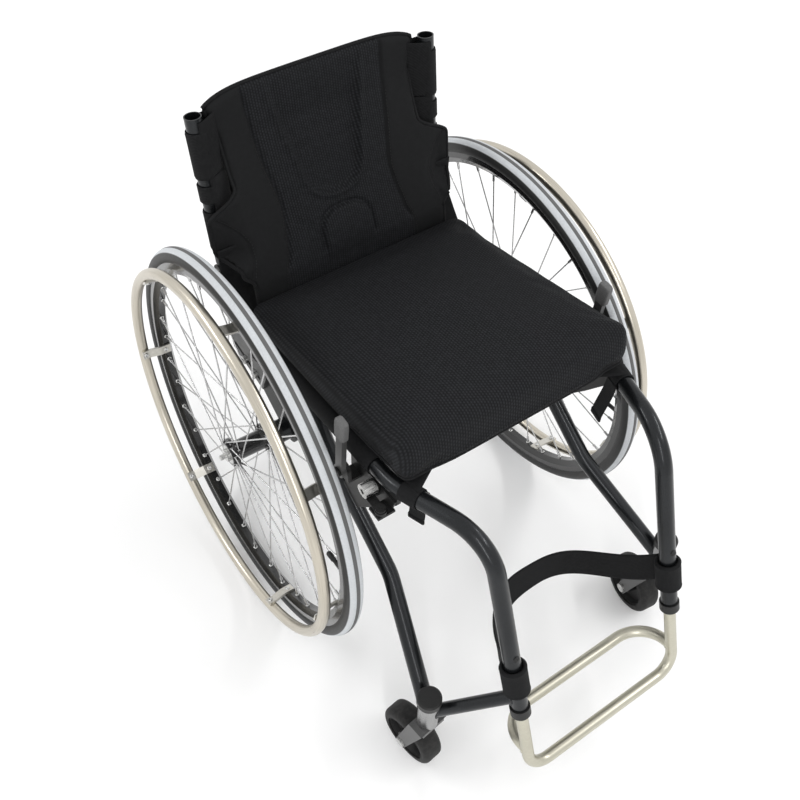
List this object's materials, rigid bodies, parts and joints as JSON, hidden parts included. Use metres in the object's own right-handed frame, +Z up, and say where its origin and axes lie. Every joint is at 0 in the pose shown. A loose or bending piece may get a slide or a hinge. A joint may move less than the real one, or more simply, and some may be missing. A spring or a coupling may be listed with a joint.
{
  "type": "manual wheelchair",
  "caption": "Rigid-frame manual wheelchair with cambered spoked wheels, hand rims, swivel casters, a padded seat, a folding low back, scissor brakes and a tube footrest.",
  "frame": {"origin": "on the floor, under the middle of the chair's length and width", "axes": "+X to the sitter's left, +Y to the rear, +Z up; the chair faces -Y"},
  "size_m": [0.5764, 0.8412, 0.738],
  "materials": {
    "frame_paint": "satin metallic",
    "black_metal": "satin",
    "grey_metal": "satin",
    "housing_metal": "satin",
    "fork_metal": "satin",
    "footrest_metal": "brushed",
    "handrim_metal": "brushed",
    "steel": "brushed",
    "black_plastic": "matte",
    "grip_plastic": "matte",
    "tyre_rubber": "matte",
    "caster_rubber": "matte",
    "black_fabric": "woven",
    "mesh_fabric": "open mesh weave"
  },
  "bodies": {
    "frame": {"right_side_tube": "frame_paint", "left_side_tube": "frame_paint", "right_lower_tube": "frame_paint", "left_lower_tube": "frame_paint", "caster_arms": "frame_paint", "caster_housings": "housing_metal", "caster_caps": "black_plastic", "caster_bearings": "steel", "gusset_plates": "black_metal", "axle_plates": "grey_metal", "axle_clamps": "black_metal", "axle_tube": "frame_paint", "camber_plugs": "black_metal", "axle_pins": "steel", "seat_sling": "black_fabric", "seat_cushion": "mesh_fabric", "seat_straps": "black_fabric", "calf_strap": "black_fabric", "hinge_brackets": "black_metal", "leg_collars": "black_plastic", "frame_bolts": "steel", "brake_mounts": "black_metal"},
    "backrest": {"right_backrest_tube": "frame_paint", "left_backrest_tube": "frame_paint", "backrest_crossbar": "frame_paint", "backrest_cover": "mesh_fabric", "backrest_straps": "black_fabric"},
    "footrest": {"footrest_frame": "footrest_metal"},
    "left_lever": {"left_brake_lever": "grey_metal", "left_brake_grip": "grip_plastic"},
    "left_shoe_arm": {"left_brake_arm": "black_metal", "left_brake_shoe": "steel"},
    "left_wheel": {"left_tyre": "tyre_rubber", "left_rim": "black_metal", "left_spokes": "steel", "left_hub": "black_metal", "left_hub_bearings": "steel", "left_handrim": "handrim_metal", "left_handrim_tabs": "handrim_metal"},
    "left_fork": {"left_caster_fork": "fork_metal", "left_caster_axle": "steel"},
    "left_caster_wheel": {"left_caster_core": "black_plastic", "left_caster_tyre": "caster_rubber"},
    "left_button": {"left_axle_button": "steel"},
    "right_lever": {"right_brake_lever": "grey_metal", "right_brake_grip": "grip_plastic"},
    "right_shoe_arm": {"right_brake_arm": "black_metal", "right_brake_shoe": "steel"},
    "right_wheel": {"right_tyre": "tyre_rubber", "right_rim": "black_metal", "right_spokes": "steel", "right_hub": "black_metal", "right_hub_bearings": "steel", "right_handrim": "handrim_metal", "right_handrim_tabs": "handrim_metal"},
    "right_fork": {"right_caster_fork": "fork_metal", "right_caster_axle": "steel"},
    "right_caster_wheel": {"right_caster_core": "black_plastic", "right_caster_tyre": "caster_rubber"},
    "right_button": {"right_axle_button": "steel"}
  },
  "joints": [
    {"name": "left_wheel_spin", "type": "hinge", "parent": "frame", "child": "left_wheel", "pos_m": [0.233, 0.12563, 0.29469], "axis": [0.9989, 0, 0.0471], "continuous": true},
    {"name": "left_button_push", "type": "slide", "parent": "frame", "child": "left_button", "axis": [-0.9989, 0, -0.0471], "range_m": [0, 0.004], "stiffness_N_per_m": 900},
    {"name": "left_caster_swivel", "type": "hinge", "parent": "frame", "child": "left_fork", "pos_m": [0.208, -0.29137, 0.135], "axis": [0, 0, 1], "continuous": true},
    {"name": "left_caster_spin", "type": "hinge", "parent": "left_fork", "child": "left_caster_wheel", "pos_m": [0.21117, -0.26557, 0.046], "axis": [0.9925, -0.1219, 0], "continuous": true},
    {"name": "left_brake_pull", "type": "hinge", "parent": "frame", "child": "left_lever", "pos_m": [0.197, -0.07937, 0.446], "axis": [1, 0, 0], "range_deg": [0, 50]},
    {"name": "left_shoe_swing", "type": "hinge", "parent": "frame", "child": "left_shoe_arm", "pos_m": [0.187, -0.15037, 0.4389], "axis": [0, 0, -1], "range_deg": [0, 50]},
    {"name": "right_wheel_spin", "type": "hinge", "parent": "frame", "child": "right_wheel", "pos_m": [-0.233, 0.12563, 0.29469], "axis": [0.9989, 0, -0.0471], "continuous": true},
    {"name": "right_button_push", "type": "slide", "parent": "frame", "child": "right_button", "axis": [0.9989, 0, -0.0471], "range_m": [0, 0.004], "stiffness_N_per_m": 900},
    {"name": "right_caster_swivel", "type": "hinge", "parent": "frame", "child": "right_fork", "pos_m": [-0.208, -0.29137, 0.135], "axis": [0, 0, 1], "continuous": true},
    {"name": "right_caster_spin", "type": "hinge", "parent": "right_fork", "child": "right_caster_wheel", "pos_m": [-0.21117, -0.26557, 0.046], "axis": [0.9925, 0.1219, 0], "continuous": true},
    {"name": "right_brake_pull", "type": "hinge", "parent": "frame", "child": "right_lever", "pos_m": [-0.197, -0.07937, 0.446], "axis": [1, 0, 0], "range_deg": [0, 50]},
    {"name": "right_shoe_swing", "type": "hinge", "parent": "frame", "child": "right_shoe_arm", "pos_m": [-0.187, -0.15037, 0.4389], "axis": [0, 0, 1], "range_deg": [0, 50]},
    {"name": "backrest_fold", "type": "hinge", "parent": "frame", "child": "backrest", "pos_m": [0, 0.25063, 0.5], "axis": [1, 0, 0], "range_deg": [0, 50]},
    {"name": "footrest_height", "type": "slide", "parent": "frame", "child": "footrest", "axis": [0, -0.3404, -0.9403], "range_m": [-0.035, 0.04]}
  ],
  "couplings": [
    {"joint": "left_shoe_swing", "follows": "left_brake_pull", "ratio": 1},
    {"joint": "right_shoe_swing", "follows": "right_brake_pull", "ratio": 1}
  ]
}
